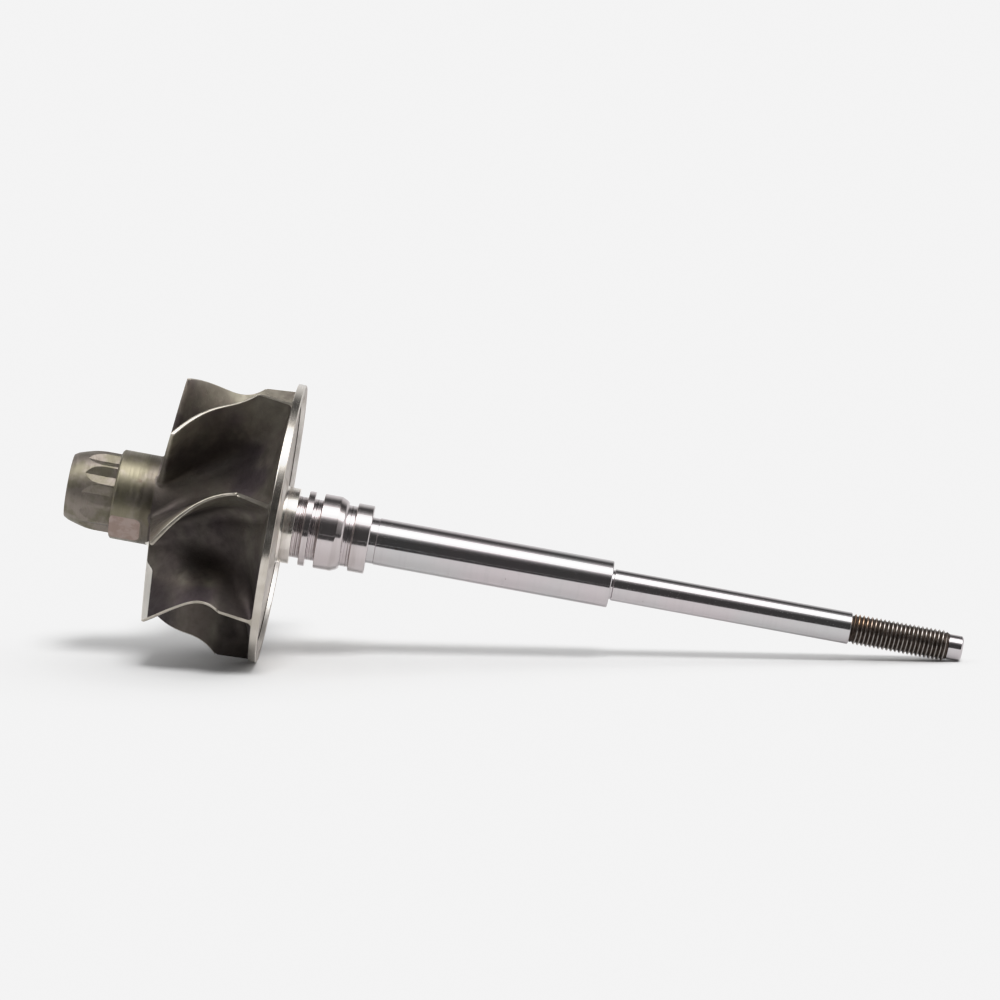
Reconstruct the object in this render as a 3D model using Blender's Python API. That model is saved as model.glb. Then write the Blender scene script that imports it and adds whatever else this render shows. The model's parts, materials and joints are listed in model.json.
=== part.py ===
# Turbine wheel and shaft of a turbocharger, lying on a level floor on its rim and shaft tip.
# Lengths are metres. A station is a distance along the axis, measured from the face of the nose.
# An angle around the axis starts at the side that faces -Y and grows towards the top.

import math

import bmesh
import bpy
from mathutils import Matrix

MM = 0.001

# Stations of the cast wheel
NOSE_CHAMFER_BACK = 1.0 * MM
BARREL_FULL = 6.2 * MM
DRIVE_END = 9.5 * MM
COLLAR_FRONT = 10.1 * MM
HUB_FRONT = 18.6 * MM
DISC_FRONT = 43.5 * MM
DISC_BACK = 45.6 * MM
BACK_FACE_STEP = 46.1 * MM
NECK_FRONT = 47.3 * MM
NECK_BACK = 48.8 * MM

# Stations of the shaft
FRONT_GROOVE_BACK = 50.8 * MM
RING_LAND_BACK = 52.2 * MM
REAR_GROOVE_BACK = 54.1 * MM
SEAL_CONE_FRONT = 57.8 * MM
SEAL_HUB_BACK = 59.5 * MM
OIL_GROOVE_BACK = 61.4 * MM
SHOULDER_BACK = 65.0 * MM
JOURNAL_RELIEF_BACK = 66.6 * MM
JOURNAL_BACK = 117.3 * MM
STUB_BACK = 169.3 * MM
THREAD_BACK = 190.3 * MM
TIP_BACK = 193.5 * MM

# Radii of the cast wheel
NOSE_FACE_R = 6.7 * MM
NOSE_CHAMFER_R = 7.35 * MM
DRIVE_R = 8.5 * MM
NOSE_NECK_R = 7.8 * MM
HUB_R = 9.6 * MM
DISC_R = 30.17 * MM
BACK_STEP_R = 27.0 * MM
BACK_BOSS_R = 9.6 * MM
NECK_R = 8.15 * MM

# Radii of the shaft
GROOVE_R = 6.6 * MM
SEAL_R = 8.07 * MM
SEAL_CONE_R = 7.3 * MM
SHOULDER_R = 7.4 * MM
JOURNAL_RELIEF_R = 4.95 * MM
JOURNAL_R = 5.08 * MM
STUB_R = 3.41 * MM
STUB_RELIEF_R = 3.2 * MM
STUB_RELIEF = 0.5 * MM
STUB_SEAT = 1.0 * MM
THREAD_CREST_R = 3.15 * MM
THREAD_ROOT_R = 2.65 * MM
THREAD_PITCH = 0.907 * MM
TIP_R = 2.75 * MM
TIP_CHAMFER = 0.35 * MM
EDGE_CHAMFER = 0.2 * MM

# Thread form: shares of the pitch where the crest begins and ends, and how the ends fade
CREST_BEGIN = 0.36
CREST_END = 0.52
THREAD_LEAD = 0.3 * MM
THREAD_START_HEIGHT = 0.1
THREAD_FADE_TURNS = 0.5

# Twelve point drive on the nose: two hexagons turned 30 degrees apart
DRIVE_POINTS = 12
DRIVE_POINT_R = 8.62 * MM
DRIVE_PHASE = math.radians(15)
DRIVE_STEPS = 4

# Flat ground on the nose collar to balance the rotor
BALANCE_ANGLE = math.radians(-42)
BALANCE_DEPTH = 0.7 * MM
BALANCE_BACK = 17.3 * MM
BALANCE_CORNER = 1.6 * MM
GRIND_WIDTH = 14 * MM
GRIND_HEIGHT = 4 * MM

# Blades
BLADE_COUNT = 7
BLADE_PHASE = math.radians(17.6)
BLADE_WRAP = math.radians(28.5)
BLADE_RETURN = math.radians(3)
BLADE_TIP_FRONT = 21.1 * MM
BLADE_TIP_FRONT_R = 27.1 * MM
BLADE_APEX = 36.8 * MM
BLADE_APEX_R = 30.0 * MM
SHROUD_BEND = 29.7 * MM
SHROUD_POWER = 2.4
BLADE_ROOT_THICK = 2.2 * MM
BLADE_TIP_THICK = 1.1 * MM
BLADE_FOOT_FRONT = math.radians(1)
BLADE_FOOT_BACK = math.radians(88)
BLADE_COLUMNS = 12
BLADE_ROWS = 6
SEAT_GAP = 0.35 * MM

# The core is split where its cone grows into the disc, and the flare ends just short of the rim
CORE_SPLIT_ANGLE = math.radians(41)
FLARE_END_ANGLE = math.radians(86)
HUB_STEPS = 6
FLARE_STEPS = 7

# Flats around each round piece; a multiple of four puts one flat straight down
DISC_SIDES = 56
NOSE_SIDES = 48
SHAFT_SIDES = 36
TIP_SIDES = 24
THREAD_SIDES = 16

SMOOTH_ANGLE = math.radians(30)
BLADE_SMOOTH_ANGLE = math.radians(40)

# Colour and roughness of each metal
METALS = {
    "cast_alloy": ((0.075, 0.066, 0.055), 0.5),
    "turned_alloy": ((0.42, 0.38, 0.34), 0.35),
    "weld_tint": ((0.42, 0.33, 0.27), 0.4),
    "ground_steel": ((0.6, 0.58, 0.57), 0.22),
    "thread_steel": ((0.2, 0.15, 0.11), 0.4),
}


def clear_scene():
    for item in list(bpy.data.objects):
        bpy.data.objects.remove(item)


def metal(name):
    colour, roughness = METALS[name]
    material = bpy.data.materials.new(name)
    material.use_nodes = True
    shader = material.node_tree.nodes["Principled BSDF"]
    shader.inputs["Base Color"].default_value = (*colour, 1)
    shader.inputs["Roughness"].default_value = roughness
    shader.inputs["Metallic"].default_value = 1
    return material


def flat_radius(radius, sides):
    # Distance from the axis to the middle of a flat
    return radius * math.cos(math.pi / sides)


def around(station, radius, angle):
    return (station, -radius * math.cos(angle), radius * math.sin(angle))


def side_angle(index, sides):
    # Corner angles, half a side off the vertical, so that a flat faces straight down
    return -math.pi / 2 + (index + 0.5) * 2 * math.pi / sides


def mesh_from(bm, name, material, smooth_angle):
    bmesh.ops.recalc_face_normals(bm, faces=bm.faces)
    mesh = bpy.data.meshes.new(name)
    bm.to_mesh(mesh)
    bm.free()
    mesh.shade_smooth()
    mesh.set_sharp_from_angle(angle=smooth_angle)
    mesh.materials.append(material)
    return mesh


def add_piece(name, bm, station, material, pose):
    piece = bpy.data.objects.new(name, mesh_from(bm, name, material, SMOOTH_ANGLE))
    piece.location.x = station
    piece.parent = pose
    bpy.context.collection.objects.link(piece)
    return piece


def rings_to_solid(rings):
    # Closed solid from rings of points that all have the same count
    bm = bmesh.new()
    loops = [[bm.verts.new(point) for point in ring] for ring in rings]
    count = len(loops[0])
    for front, back in zip(loops, loops[1:]):
        for i in range(count):
            j = (i + 1) % count
            bm.faces.new((front[i], front[j], back[j], back[i]))
    bm.faces.new(loops[0])
    bm.faces.new(loops[-1])
    return bm


def turned(name, outline, sides, material, pose):
    # Outline points are (station, radius) from front to back
    start = outline[0][0]
    rings = []
    for station, radius in outline:
        rings.append([around(station - start, radius, side_angle(i, sides)) for i in range(sides)])
    return add_piece(name, rings_to_solid(rings), start, material, pose)


def drive_barrel_radius(station):
    # Turned outside of the nose: a chamfer, then a rise that flattens out
    if station <= NOSE_CHAMFER_BACK:
        return NOSE_FACE_R + (NOSE_CHAMFER_R - NOSE_FACE_R) * station / NOSE_CHAMFER_BACK
    rise = min((station - NOSE_CHAMFER_BACK) / (BARREL_FULL - NOSE_CHAMFER_BACK), 1)
    return NOSE_CHAMFER_R + (DRIVE_R - NOSE_CHAMFER_R) * math.sin(rise * math.pi / 2)


def drive_star_radius(angle):
    # Outline of the two hexagons at an angle from one of the points
    pitch = 2 * math.pi / DRIVE_POINTS
    off_point = abs((angle + pitch / 2) % pitch - pitch / 2)
    return DRIVE_POINT_R * math.cos(pitch) / math.cos(pitch - off_point)


def nose_drive(material, pose):
    step = (BARREL_FULL - NOSE_CHAMFER_BACK) / DRIVE_STEPS
    barrel = [NOSE_CHAMFER_BACK + step * i for i in range(DRIVE_STEPS + 1)]
    rings = []
    for station in [0] + barrel + [DRIVE_END]:
        ring = []
        for i in range(NOSE_SIDES):
            turn = i * 2 * math.pi / NOSE_SIDES
            radius = min(drive_barrel_radius(station), drive_star_radius(turn))
            ring.append(around(station, radius, DRIVE_PHASE + turn))
        rings.append(ring)
    return add_piece("nose_drive", rings_to_solid(rings), 0, material, pose)


def balance_cutter(pose):
    # Block that grinds the flat, open at the front of the collar and rounded at its back
    length = 2 * (BALANCE_BACK - COLLAR_FRONT)
    bpy.ops.mesh.primitive_cube_add(size=1)
    cutter = bpy.context.active_object
    cutter.name = "balance_cutter"
    cutter.data.transform(Matrix.Diagonal((length, GRIND_WIDTH, GRIND_HEIGHT, 1)))
    bevel = cutter.modifiers.new("corner", "BEVEL")
    bevel.width = BALANCE_CORNER
    bevel.segments = 3
    floor_r = HUB_R - BALANCE_DEPTH
    cutter.data.transform(Matrix.Translation((0, 0, floor_r + GRIND_HEIGHT / 2)))
    cutter.data.transform(Matrix.Rotation(math.pi / 2 - BALANCE_ANGLE, 4, "X"))
    cutter.location.x = COLLAR_FRONT
    cutter.parent = pose
    cutter.hide_render = True
    cutter.display_type = "WIRE"
    return cutter


def nose_collar(material, pose):
    outline = [
        (DRIVE_END, NOSE_NECK_R),
        (COLLAR_FRONT, NOSE_NECK_R),
        (COLLAR_FRONT, HUB_R - EDGE_CHAMFER),
        (COLLAR_FRONT + EDGE_CHAMFER, HUB_R),
        (HUB_FRONT, HUB_R),
    ]
    collar = turned("nose_collar", outline, NOSE_SIDES, material, pose)
    grind = collar.modifiers.new("balance_flat", "BOOLEAN")
    grind.operation = "DIFFERENCE"
    grind.solver = "EXACT"
    grind.object = balance_cutter(pose)
    return collar


def core_point(angle):
    # Quarter ellipse from the nose collar, level, to the rim of the disc, upright
    station = HUB_FRONT + (DISC_FRONT - HUB_FRONT) * math.sin(angle)
    radius = DISC_R - (DISC_R - HUB_R) * math.cos(angle)
    return station, radius


def core_arc(first, last, steps):
    return [core_point(first + (last - first) * i / steps) for i in range(steps + 1)]


def wheel_hub(material, pose):
    cone = core_arc(0, CORE_SPLIT_ANGLE, HUB_STEPS)
    return turned("wheel_hub", cone, DISC_SIDES, material, pose)


def back_disc(material, pose):
    # The flare meets the rim square, and the back face rises a little towards the middle
    flare = core_arc(CORE_SPLIT_ANGLE, FLARE_END_ANGLE, FLARE_STEPS)
    back = [
        (DISC_FRONT, DISC_R),
        (DISC_BACK, DISC_R),
        (BACK_FACE_STEP, BACK_STEP_R),
        (NECK_FRONT, BACK_BOSS_R),
    ]
    return turned("back_disc", flare + back, DISC_SIDES, material, pose)


def blade_angle(station):
    # Radial blades: the angle depends on the station alone. It follows a parabola from
    # the trailing edge to the apex, then comes back a little to the disc.
    if station < BLADE_APEX:
        reach = (BLADE_APEX - station) / (BLADE_APEX - BLADE_TIP_FRONT)
        return -BLADE_WRAP * reach**2
    return -BLADE_RETURN * (station - BLADE_APEX) / (DISC_FRONT - BLADE_APEX)


def blade_twist(station):
    # Change of the angle along the axis
    step = 0.05 * MM
    return (blade_angle(station + step) - blade_angle(station - step)) / (2 * step)


def blade_foot(share):
    # Point just off the core, from the trailing edge (0) to the rim (1)
    angle = BLADE_FOOT_FRONT + (BLADE_FOOT_BACK - BLADE_FOOT_FRONT) * share
    station, radius = core_point(angle)
    along = (DISC_FRONT - HUB_FRONT) * math.cos(angle)
    outward = (DISC_R - HUB_R) * math.sin(angle)
    length = math.hypot(along, outward)
    return station - SEAT_GAP * outward / length, radius + SEAT_GAP * along / length


def blade_top(share):
    # Point on the edge that runs in the housing, level at first and then flared
    station = BLADE_TIP_FRONT + (BLADE_APEX - BLADE_TIP_FRONT) * share
    bend = max(0, (station - SHROUD_BEND) / (BLADE_APEX - SHROUD_BEND))
    return station, BLADE_TIP_FRONT_R + (BLADE_APEX_R - BLADE_TIP_FRONT_R) * bend**SHROUD_POWER


def blade_side_point(share, height, side):
    foot = blade_foot(share)
    top = blade_top(share)
    station = foot[0] + (top[0] - foot[0]) * height
    radius = foot[1] + (top[1] - foot[1]) * height
    half = side * (BLADE_ROOT_THICK + (BLADE_TIP_THICK - BLADE_ROOT_THICK) * height) / 2
    lean = radius * blade_twist(station)
    angle = blade_angle(station)
    x, y, z = around(station, radius, angle)
    shift = half / math.hypot(lean, 1)
    return x - shift * lean, y + shift * math.sin(angle), z + shift * math.cos(angle)


def blade_outline(grid):
    # Edges around one side of a blade, in order
    foot = [line[0] for line in grid]
    back = grid[-1][1:]
    top = [line[-1] for line in reversed(grid[:-1])]
    front = grid[0][-2:0:-1]
    loop = foot + back + top + front
    return list(zip(loop, loop[1:] + loop[:1]))


def blade_mesh(material):
    bm = bmesh.new()
    grids = []
    for side in (-1, 1):
        grid = []
        for column in range(BLADE_COLUMNS + 1):
            line = []
            for row in range(BLADE_ROWS + 1):
                place = blade_side_point(column / BLADE_COLUMNS, row / BLADE_ROWS, side)
                line.append(bm.verts.new(place))
            grid.append(line)
        for column in range(BLADE_COLUMNS):
            for row in range(BLADE_ROWS):
                near = (grid[column][row], grid[column + 1][row])
                far = (grid[column + 1][row + 1], grid[column][row + 1])
                bm.faces.new(near + far)
        grids.append(grid)
    for first, second in zip(blade_outline(grids[0]), blade_outline(grids[1])):
        bm.faces.new((first[0], first[1], second[1], second[0]))
    return mesh_from(bm, "blade", material, BLADE_SMOOTH_ANGLE)


def blades(material, pose):
    mesh = blade_mesh(material)
    for number in range(BLADE_COUNT):
        blade = bpy.data.objects.new(f"blade_{number + 1}", mesh)
        blade.rotation_euler.x = -BLADE_PHASE - number * 2 * math.pi / BLADE_COUNT
        blade.parent = pose
        bpy.context.collection.objects.link(blade)


def seal_pieces(material, pose):
    # Ring grooves and the lands between them, from the wheel to the journal shoulder
    front_groove = [(NECK_BACK, GROOVE_R), (FRONT_GROOVE_BACK, GROOVE_R)]
    turned("front_ring_groove", front_groove, SHAFT_SIDES, material, pose)
    ring_land = [(FRONT_GROOVE_BACK, SEAL_R), (RING_LAND_BACK, SEAL_R)]
    turned("ring_land", ring_land, SHAFT_SIDES, material, pose)
    rear_groove = [(RING_LAND_BACK, GROOVE_R), (REAR_GROOVE_BACK, GROOVE_R)]
    turned("rear_ring_groove", rear_groove, SHAFT_SIDES, material, pose)
    seal_hub = [(REAR_GROOVE_BACK, SEAL_R), (SEAL_CONE_FRONT, SEAL_R), (SEAL_HUB_BACK, SEAL_CONE_R)]
    turned("seal_hub", seal_hub, SHAFT_SIDES, material, pose)
    oil_groove = [(SEAL_HUB_BACK, GROOVE_R), (OIL_GROOVE_BACK, GROOVE_R)]
    turned("oil_groove", oil_groove, SHAFT_SIDES, material, pose)
    shoulder = [
        (OIL_GROOVE_BACK, SHOULDER_R),
        (SHOULDER_BACK - EDGE_CHAMFER, SHOULDER_R),
        (SHOULDER_BACK, SHOULDER_R - EDGE_CHAMFER),
    ]
    turned("journal_shoulder", shoulder, SHAFT_SIDES, material, pose)


def shaft_pieces(material, pose):
    # The stub is seated a little way into the journal, whose end stays a true ring face
    journal = [
        (SHOULDER_BACK, JOURNAL_RELIEF_R),
        (JOURNAL_RELIEF_BACK, JOURNAL_RELIEF_R),
        (JOURNAL_RELIEF_BACK, JOURNAL_R),
        (JOURNAL_BACK - EDGE_CHAMFER, JOURNAL_R),
        (JOURNAL_BACK, JOURNAL_R - EDGE_CHAMFER),
        (JOURNAL_BACK, STUB_R),
        (JOURNAL_BACK - STUB_SEAT, STUB_R),
    ]
    turned("bearing_journal", journal, SHAFT_SIDES, material, pose)
    stub = [
        (JOURNAL_BACK - STUB_SEAT, STUB_RELIEF_R),
        (JOURNAL_BACK + STUB_RELIEF, STUB_RELIEF_R),
        (JOURNAL_BACK + STUB_RELIEF, STUB_R),
        (STUB_BACK - EDGE_CHAMFER, STUB_R),
        (STUB_BACK, STUB_R - EDGE_CHAMFER),
    ]
    turned("compressor_stub", stub, SHAFT_SIDES, material, pose)
    tip = [
        (THREAD_BACK, TIP_R),
        (TIP_BACK - TIP_CHAMFER, TIP_R),
        (TIP_BACK, TIP_R - TIP_CHAMFER),
    ]
    turned("shaft_tip", tip, TIP_SIDES, material, pose)


def thread_radius(full, turns_in, turns_left):
    # The crest grows over the first part of a turn and fades over the last
    nearest_end = min(turns_in, turns_left)
    growth = min(1, THREAD_START_HEIGHT + nearest_end / THREAD_FADE_TURNS)
    return THREAD_ROOT_R + (THREAD_CREST_R - THREAD_ROOT_R) * growth * full


def shaft_thread(material, pose):
    # A real helix: a root line and two crest lines wind along it, and each turn joins the next
    bm = bmesh.new()
    sides = THREAD_SIDES
    length = THREAD_BACK - STUB_BACK
    turns = int((length - 2 * THREAD_LEAD) / THREAD_PITCH) - 1
    total = turns * sides
    root, rise, fall = [], [], []
    for line, share in ((root, 0), (rise, CREST_BEGIN), (fall, CREST_END)):
        full = 0 if line is root else 1
        last = total + sides if line is root else total
        for k in range(last + 1):
            station = THREAD_LEAD + THREAD_PITCH * (k / sides + share)
            radius = thread_radius(full, k / sides, (total - k) / sides)
            line.append(bm.verts.new(around(station, radius, side_angle(k, sides))))
    for k in range(total):
        bm.faces.new((root[k], root[k + 1], rise[k + 1], rise[k]))
        bm.faces.new((rise[k], rise[k + 1], fall[k + 1], fall[k]))
        bm.faces.new((fall[k], fall[k + 1], root[k + sides + 1], root[k + sides]))
    front = []
    back = []
    for i in range(sides):
        front.append(bm.verts.new(around(0, THREAD_ROOT_R, side_angle(i, sides))))
        back.append(bm.verts.new(around(length, THREAD_ROOT_R, side_angle(i, sides))))
    for i in range(sides - 1):
        bm.faces.new((front[i], front[i + 1], root[i + 1], root[i]))
        first, second = root[total + i + 1], root[total + i + 2]
        bm.faces.new((first, second, back[(i + 2) % sides], back[i + 1]))
    bm.faces.new((front[-1], front[0], root[0], rise[0], fall[0], root[sides], root[sides - 1]))
    end = (root[total], rise[total], fall[total], root[total + sides])
    bm.faces.new(end + (back[0], back[1], root[total + 1]))
    bm.faces.new(front)
    bm.faces.new(back)
    return add_piece("shaft_thread", bm, STUB_BACK, material, pose)


def resting_pose():
    # The rim's back corner and the tip's last corner touch the floor, each with a flat down
    rim_low = flat_radius(DISC_R, DISC_SIDES)
    tip_low = flat_radius(TIP_R, TIP_SIDES)
    tilt = math.atan2(rim_low - tip_low, TIP_BACK - TIP_CHAMFER - DISC_BACK)
    lowest = -DISC_BACK * math.sin(tilt) - rim_low * math.cos(tilt)
    nose_end = -NOSE_FACE_R * math.sin(tilt)
    tip_face_r = flat_radius(TIP_R - TIP_CHAMFER, TIP_SIDES)
    tip_end = TIP_BACK * math.cos(tilt) + tip_face_r * math.sin(tilt)
    pose = bpy.data.objects.new("resting_pose", None)
    pose.rotation_euler.y = tilt
    pose.location = (-(nose_end + tip_end) / 2, 0, -lowest)
    bpy.context.collection.objects.link(pose)
    return pose


def build():
    clear_scene()
    cast = metal("cast_alloy")
    ground = metal("ground_steel")
    pose = resting_pose()
    nose_drive(cast, pose)
    nose_collar(cast, pose)
    wheel_hub(cast, pose)
    back_disc(metal("turned_alloy"), pose)
    blades(cast, pose)
    weld_neck = [(NECK_FRONT, NECK_R), (NECK_BACK, NECK_R)]
    turned("weld_neck", weld_neck, SHAFT_SIDES, metal("weld_tint"), pose)
    seal_pieces(ground, pose)
    shaft_pieces(ground, pose)
    shaft_thread(metal("thread_steel"), pose)


build()
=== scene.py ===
import json
import math

import bmesh
import bpy
import numpy as np
from mathutils import Matrix, Quaternion, Vector


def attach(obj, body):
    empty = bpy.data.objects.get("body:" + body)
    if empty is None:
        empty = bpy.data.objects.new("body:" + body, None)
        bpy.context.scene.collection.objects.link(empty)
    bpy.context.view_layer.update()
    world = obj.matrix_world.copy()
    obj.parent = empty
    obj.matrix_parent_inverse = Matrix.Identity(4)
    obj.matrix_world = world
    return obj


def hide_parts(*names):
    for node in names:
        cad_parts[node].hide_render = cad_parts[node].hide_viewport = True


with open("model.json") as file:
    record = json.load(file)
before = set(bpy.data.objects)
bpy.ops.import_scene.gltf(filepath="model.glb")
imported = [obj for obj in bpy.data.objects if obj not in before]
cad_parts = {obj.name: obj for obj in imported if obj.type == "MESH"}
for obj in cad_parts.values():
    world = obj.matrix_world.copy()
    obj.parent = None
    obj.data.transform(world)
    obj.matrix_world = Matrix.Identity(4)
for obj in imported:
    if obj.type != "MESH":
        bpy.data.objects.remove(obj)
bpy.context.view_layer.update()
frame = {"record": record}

scene = bpy.context.scene

# Shapes are made in mm in the rotor's own frame: x is the station along the axis from the nose face.
# A turn angle starts at the side towards the camera (-Y) and grows towards the top.
mounts = {mount["name"]: mount for mount in frame["record"]["mounts"]}
noseFace = Vector(mounts["nose_face"]["pos_m"])
axis = (Vector(mounts["tip_face"]["pos_m"]) - noseFace).normalized()
farSide = Vector((0, 1, 0))
mm = 0.001
rotorToWorld = Matrix((axis, farSide, axis.cross(farSide))).transposed().to_4x4()
rotorToWorld.translation = noseFace
rotorToWorld = rotorToWorld @ Matrix.Scale(mm, 4)
fullTurn = 2 * math.pi


def around(station, radius, turn):
    return (station, -radius * math.cos(turn), radius * math.sin(turn))


def blend(low, high, value):
    # Smooth step from 0 at low to 1 at high
    share = min(max((value - low) / (high - low), 0), 1)
    return share * share * (3 - 2 * share)


def between(pair, share):
    return pair[0] + (pair[1] - pair[0]) * share


def addNode(tree, kind, inputs=None, **settings):
    # Adds one shader node. An input is a plain value or a socket of another node.
    made = tree.nodes.new("ShaderNode" + kind)
    for key, value in settings.items():
        setattr(made, key, value)
    for key, value in (inputs or {}).items():
        if isinstance(value, bpy.types.NodeSocket):
            tree.links.new(value, made.inputs[key])
        elif made.inputs[key].type == "RGBA":
            made.inputs[key].default_value = (*value, 1)
        else:
            made.inputs[key].default_value = value
    return made


# metals
class Metal:
    # One metal's nodes. Its patterns read the place on the rotor, in mm, from the mesh.
    def __init__(self, name, metallic=1.0):
        self.material = bpy.data.materials.new(name)
        self.material.use_nodes = True
        self.tree = self.material.node_tree
        self.shader = self.tree.nodes["Principled BSDF"]
        self.shader.inputs["Metallic"].default_value = metallic
        self.place = self.node("Attribute", attribute_name="rotor").outputs["Vector"]
        split = self.node("SeparateXYZ", {0: self.place}).outputs
        self.station = split[0]
        self.across = split[1]
        self.up = split[2]
        squares = self.math("ADD", self.math("MULTIPLY", self.across, self.across),
                            self.math("MULTIPLY", self.up, self.up))
        self.radius = self.math("SQRT", squares)

    def node(self, kind, inputs=None, **settings):
        return addNode(self.tree, kind, inputs, **settings)

    def math(self, operation, *values):
        return self.node("Math", dict(enumerate(values)), operation=operation).outputs[0]

    def noiseAt(self, spot, detail, rough=0.6):
        inputs = {"Vector": spot, "Scale": 1, "Detail": detail, "Roughness": rough}
        return self.node("TexNoise", inputs).outputs[0]

    def noise(self, perMm, detail=3, rough=0.6, shift=0.0):
        # Cloudy pattern. The shift moves it, so that no two patterns of a metal fall together.
        spot = self.node("VectorMath", {0: self.place, 1: (perMm,) * 3}, operation="MULTIPLY").outputs[0]
        moved = self.node("VectorMath", {0: spot, 1: (shift,) * 3}, operation="ADD").outputs[0]
        return self.noiseAt(moved, detail, rough)

    def lines(self, perMm, detail=2, shift=0.0, drift=0.06):
        # Lathe lines along a barrel or across a face, nearly the same all the way around
        run = self.math("MULTIPLY", self.math("ADD", self.station, self.radius), perMm)
        sweep = self.math("MULTIPLY", self.across, drift)
        lift = self.math("MULTIPLY_ADD", self.up, drift, shift)
        return self.noiseAt(self.node("CombineXYZ", {0: run, 1: sweep, 2: lift}).outputs[0], detail)

    def spread(self, value, low, high, toLow=0.0, toHigh=1.0):
        inputs = {0: value, 1: low, 2: high, 3: toLow, 4: toHigh}
        return self.node("MapRange", inputs, interpolation_type="SMOOTHSTEP").outputs[0]

    def roughnessFrom(self, pattern, look, low=0.3, high=0.7):
        # A noise pattern lies mostly between 0.3 and 0.7
        return self.spread(pattern, low, high, look["roughLow"], look["roughHigh"])

    def mix(self, share, first, second):
        return self.node("Mix", {0: share, 6: first, 7: second}, data_type="RGBA").outputs[2]

    def mixValue(self, share, first, second):
        return self.node("Mix", {0: share, 2: first, 3: second}, data_type="FLOAT").outputs[0]

    def bump(self, height, depthMm, under=None):
        inputs = {"Height": height, "Strength": 1, "Distance": depthMm * mm}
        if under is not None:
            inputs["Normal"] = under
        return self.node("Bump", inputs).outputs[0]

    def finish(self, colour, roughness, normal):
        for key, value in (("Base Color", colour), ("Roughness", roughness), ("Normal", normal)):
            self.tree.links.new(value, self.shader.inputs[key])
        return self.material


castLook = {
    "olive": (0.42, 0.39, 0.31),
    "brown": (0.34, 0.295, 0.245), "brownScale": 0.11, "brownRange": (0.38, 0.62),
    "purple": (0.19, 0.155, 0.165),"purpleScale": 0.07, "purpleRange": (0.50, 0.68),
    "pale": (0.46, 0.42, 0.35), "paleRange": (0.56, 0.80), "paleMost": 0.35,
    "grainScale": 2.6, "grainDepth": 0.030, "pitScale": 1.1, "pitRange": (0.30, 0.42), "pitDepth": 0.02,
    "metallic": 0.97, "roughScale": 0.5, "roughLow": 0.42, "roughHigh": 0.58,
}
# Painted shade for the wheel's passages: its colour, a rougher finish where it lies, and where it thins
passageShadeLook = {
    "colour": (0.050, 0.040, 0.042), "rough": 0.14, "most": 0.88, "radii": (20.0, 32.5),
    "raggedScale": 0.25, "ragged": 8.0, "frontStations": (19.0, 24.0), "frontShare": 0.88,
    "bandUp": 5.5, "bandReach": (0.5, 5.0), "bandShare": 0.70,
    "lowUp": (-17.0, -5.0), "lowStations": (24.0, 29.0), "lowShares": (0.97, 0.70),
    "rearUp": (-10.0, 2.0), "rearStations": (30.0, 38.0), "rearShares": (0.86, 0.64),
}
grindStrip = {
    "edgeStation": 18.14, "edgeSlope": 0.0926, "startRadius": 13.2, "fullRadius": 16.2, "width": 1.4,
    "blur": 0.05, "streaksAcross": 9.0, "streaksAlong": 0.12, "rough": 0.34,
    "bright": (0.94, 0.91, 0.86), "dark": (0.74, 0.70, 0.64),
}


def paintedPassageShade(metal):
    # Painted shade over the passages: thinner towards the rim and in front, and lighter along one band of
    # the hub that faces the light from above
    look = passageShadeLook
    ragged = metal.noise(look["raggedScale"], shift=13.0)
    uneven = metal.math("MULTIPLY_ADD", ragged, look["ragged"], metal.radius)
    paintedShade = metal.spread(uneven, *look["radii"], look["most"], 0.0)
    band = metal.math("ABSOLUTE", metal.math("SUBTRACT", metal.up, look["bandUp"]))
    paintedShade = metal.math("MULTIPLY", paintedShade, metal.spread(band, *look["bandReach"], look["bandShare"], 1.0))
    front = metal.spread(metal.station, *look["frontStations"], look["frontShare"], 1.0)
    paintedShade = metal.math("MULTIPLY", paintedShade, front)
    # The painted shade stays deep in any case low down and in the rear
    low = metal.math("MULTIPLY", metal.spread(metal.up, *look["lowUp"], 1.0, 0.0),
                     metal.spread(metal.station, *look["lowStations"], *look["lowShares"]))
    rear = metal.math("MULTIPLY", metal.spread(metal.station, *look["rearStations"]),
                      metal.spread(metal.up, *look["rearUp"], *look["rearShares"]))
    return metal.math("MAXIMUM", paintedShade, metal.math("MAXIMUM", low, rear))


def groundStrip(metal, grind):
    # Where a strip is ground along the trailing edge of a blade, and its streaky colour
    edge = metal.math("MULTIPLY_ADD", metal.radius, grind["edgeSlope"], grind["edgeStation"])
    inward = metal.math("SUBTRACT", metal.station, edge)
    width = metal.spread(metal.radius, grind["startRadius"], grind["fullRadius"], 0.0, grind["width"])
    share = metal.spread(metal.math("SUBTRACT", inward, width), -grind["blur"], grind["blur"], 1.0, 0.0)
    across = metal.math("MULTIPLY", inward, grind["streaksAcross"])
    along = metal.math("MULTIPLY", metal.radius, grind["streaksAlong"])
    streaks = metal.noiseAt(metal.node("CombineXYZ", {0: across, 1: along, 2: 0.0}).outputs[0], detail=2)
    return share, metal.mix(streaks, grind["dark"], grind["bright"])


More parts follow.
